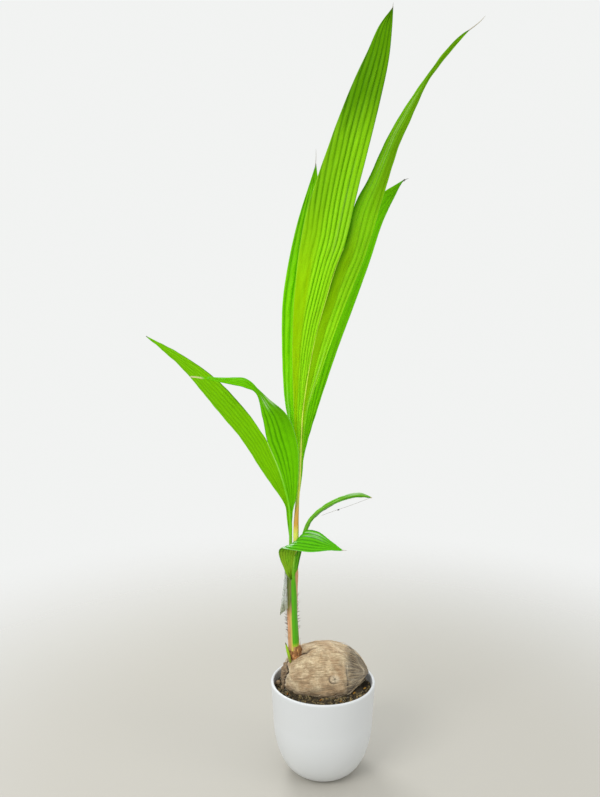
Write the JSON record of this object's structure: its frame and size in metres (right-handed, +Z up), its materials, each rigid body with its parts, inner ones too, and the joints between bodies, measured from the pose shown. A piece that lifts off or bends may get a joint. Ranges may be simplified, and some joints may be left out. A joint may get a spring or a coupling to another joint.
{
  "type": "young potted coconut palm",
  "caption": "Young coconut palm with split pleated leaves, growing from its husked nut half sunk in the soil of a rounded white pot.",
  "frame": {"origin": "centre of the pot's flat underside", "axes": "+Z up along the plant, +X towards the nut's free end and the crown's lean, +Y away from the side that faces the picture"},
  "size_m": [0.5862, 0.1906, 1.3351],
  "materials": {
    "glaze": "smooth white satin glaze",
    "soil": "coarse dark crumbs with light chips",
    "husk": "dry grained fibre",
    "fibre": "rough matted fibre",
    "sheath": "fibrous satin sheath",
    "stalk": "smooth green stalk",
    "leaf": "glossy pleated leaf",
    "dry_sheath": "dry papery sheath"
  },
  "bodies": {
    "root": {"pot": "glaze", "soil": "soil", "coconut_husk": "husk", "fibre_collar": "fibre", "stem": "sheath", "scale_leaf": "leaf", "dry_sheath": "dry_sheath", "front_leaf_stalk": "stalk", "back_leaf_stalk": "stalk", "left_leaf_stalk": "stalk", "low_leaf_stalk": "stalk", "front_leaf_left_lobe": "leaf", "front_leaf_right_lobe_rise": "leaf", "front_leaf_right_lobe_tip": "leaf", "back_leaf_left_lobe": "leaf", "back_leaf_right_lobe": "leaf", "left_leaf_long_lobe": "leaf", "left_leaf_bent_lobe_rise": "leaf", "left_leaf_bent_lobe_tip": "leaf", "low_leaf_curled_lobe_rise": "leaf", "low_leaf_curled_lobe_tip": "leaf", "low_leaf_arching_lobe_rise": "leaf", "low_leaf_arching_lobe_tip": "leaf"}
  },
  "joints": []
}
